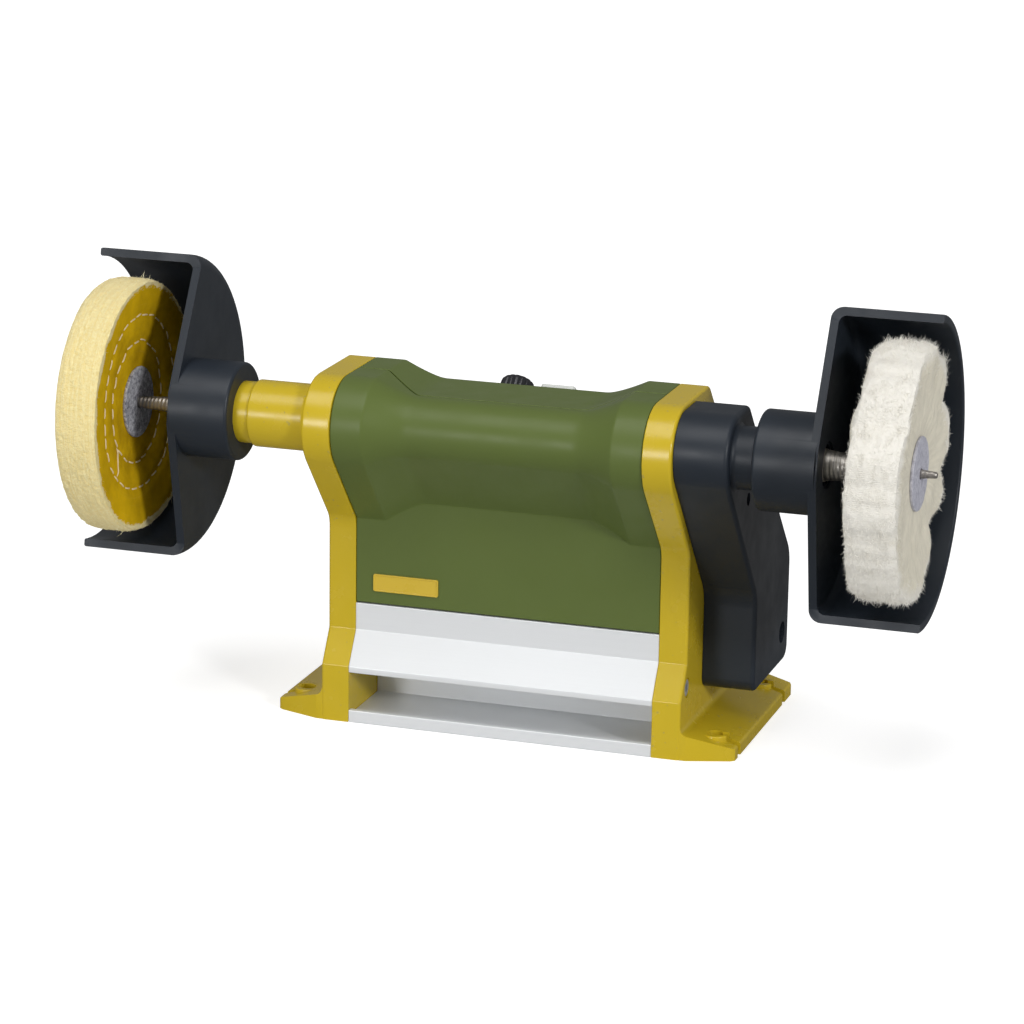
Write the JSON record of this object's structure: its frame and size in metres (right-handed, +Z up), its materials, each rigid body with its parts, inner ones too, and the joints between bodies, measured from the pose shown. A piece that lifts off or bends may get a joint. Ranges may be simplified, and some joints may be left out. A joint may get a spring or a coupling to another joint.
{
  "type": "bench polisher",
  "caption": "Bench polisher with a polishing wheel in a swivelling hood at each end of a belt-driven spindle, on a channel base with slotted feet.",
  "frame": {"origin": "centre of the four bench bolt holes, on the plane of the feet's undersides", "axes": "+X along the spindle towards the belt cover, +Y away from the user, +Z up"},
  "size_m": [0.34, 0.1515, 0.1816],
  "materials": {
    "bare_aluminium": "satin, drawn and anodised",
    "yellow_paint": "semi-gloss paint on a casting",
    "green_plastic": "fine-grained moulded plastic",
    "black_plastic": "fine-grained moulded plastic",
    "plated_steel": "zinc plated",
    "black_steel": "black oxide",
    "ground_steel": "ground and turned",
    "badge_enamel": "blank enamelled plate",
    "felt": "pressed felt",
    "magnet": "sintered",
    "bronze": "as sintered and wound",
    "carbon": "carbon",
    "belt_rubber": "moulded rubber",
    "board": "glass-fibre board",
    "component": "moulded plastic",
    "switch_grey": "moulded plastic",
    "gland_rubber": "moulded rubber",
    "treated_cotton": "stitched treated cotton",
    "white_muslin": "loose frayed muslin",
    "hub_disc": "pressed fibre",
    "dial_black": "moulded plastic"
  },
  "bodies": {
    "stand": {"base_profile": "bare_aluminium", "left_frame": "yellow_paint", "right_frame": "yellow_paint", "frame_screws": "plated_steel", "front_cover": "green_plastic", "rear_cover": "green_plastic", "cover_screws": "plated_steel", "badge": "badge_enamel", "belt_cover": "black_plastic", "belt_cover_screws": "black_steel", "left_bearing_ring": "plated_steel", "right_bearing_ring": "plated_steel", "dust_seal": "felt", "motor_can": "plated_steel", "motor_drive_cap": "bare_aluminium", "motor_brush_cap": "black_plastic", "motor_magnets": "magnet", "motor_bushes": "bronze", "motor_brushes": "carbon", "motor_screws": "plated_steel", "drive_belt": "belt_rubber", "circuit_board": "board", "board_components": "component", "board_pillars": "component", "potentiometer": "component", "switch_body": "switch_grey", "cord_gland": "gland_rubber"},
    "spindle": {"spindle_shaft": "ground_steel", "left_taper": "ground_steel", "right_taper": "ground_steel", "spindle_pulley": "bare_aluminium", "left_bearing_race": "plated_steel", "right_bearing_race": "plated_steel", "bearing_balls": "plated_steel", "shaft_collars": "plated_steel", "left_wheel": "treated_cotton", "right_wheel": "white_muslin", "left_wheel_discs": "hub_disc", "right_wheel_discs": "hub_disc"},
    "rotor": {"motor_shaft": "ground_steel", "armature": "bronze", "commutator": "bronze", "motor_pulley": "bare_aluminium"},
    "left_hood": {"left_hood": "black_plastic", "left_hood_screw": "black_steel"},
    "right_hood": {"right_hood": "black_plastic", "right_hood_screw": "black_steel"},
    "dial": {"speed_dial": "dial_black"},
    "rocker": {"switch_rocker": "switch_grey"}
  },
  "joints": [
    {"name": "spindle_spin", "type": "hinge", "parent": "stand", "child": "spindle", "pos_m": [0, -0.053, 0.1235], "axis": [1, 0, 0], "continuous": true},
    {"name": "motor_spin", "type": "hinge", "parent": "stand", "child": "rotor", "pos_m": [0, 0.013, 0.048], "axis": [1, 0, 0], "continuous": true},
    {"name": "left_hood_swivel", "type": "hinge", "parent": "stand", "child": "left_hood", "pos_m": [-0.1254, -0.053, 0.1235], "axis": [1, 0, 0], "range_deg": [-50, 80]},
    {"name": "right_hood_swivel", "type": "hinge", "parent": "stand", "child": "right_hood", "pos_m": [0.1254, -0.053, 0.1235], "axis": [1, 0, 0], "range_deg": [-50, 80]},
    {"name": "dial_turn", "type": "hinge", "parent": "stand", "child": "dial", "pos_m": [-0.007, -0.0109, 0.12867], "axis": [0, 0.7193, 0.6947], "range_deg": [0, 270]},
    {"name": "rocker_tilt", "type": "hinge", "parent": "stand", "child": "rocker", "pos_m": [0.012, -0.00908, 0.12764], "axis": [1, 0, 0], "range_deg": [-20, 0]}
  ],
  "couplings": [
    {"joint": "motor_spin", "follows": "spindle_spin", "ratio": 1.5}
  ]
}
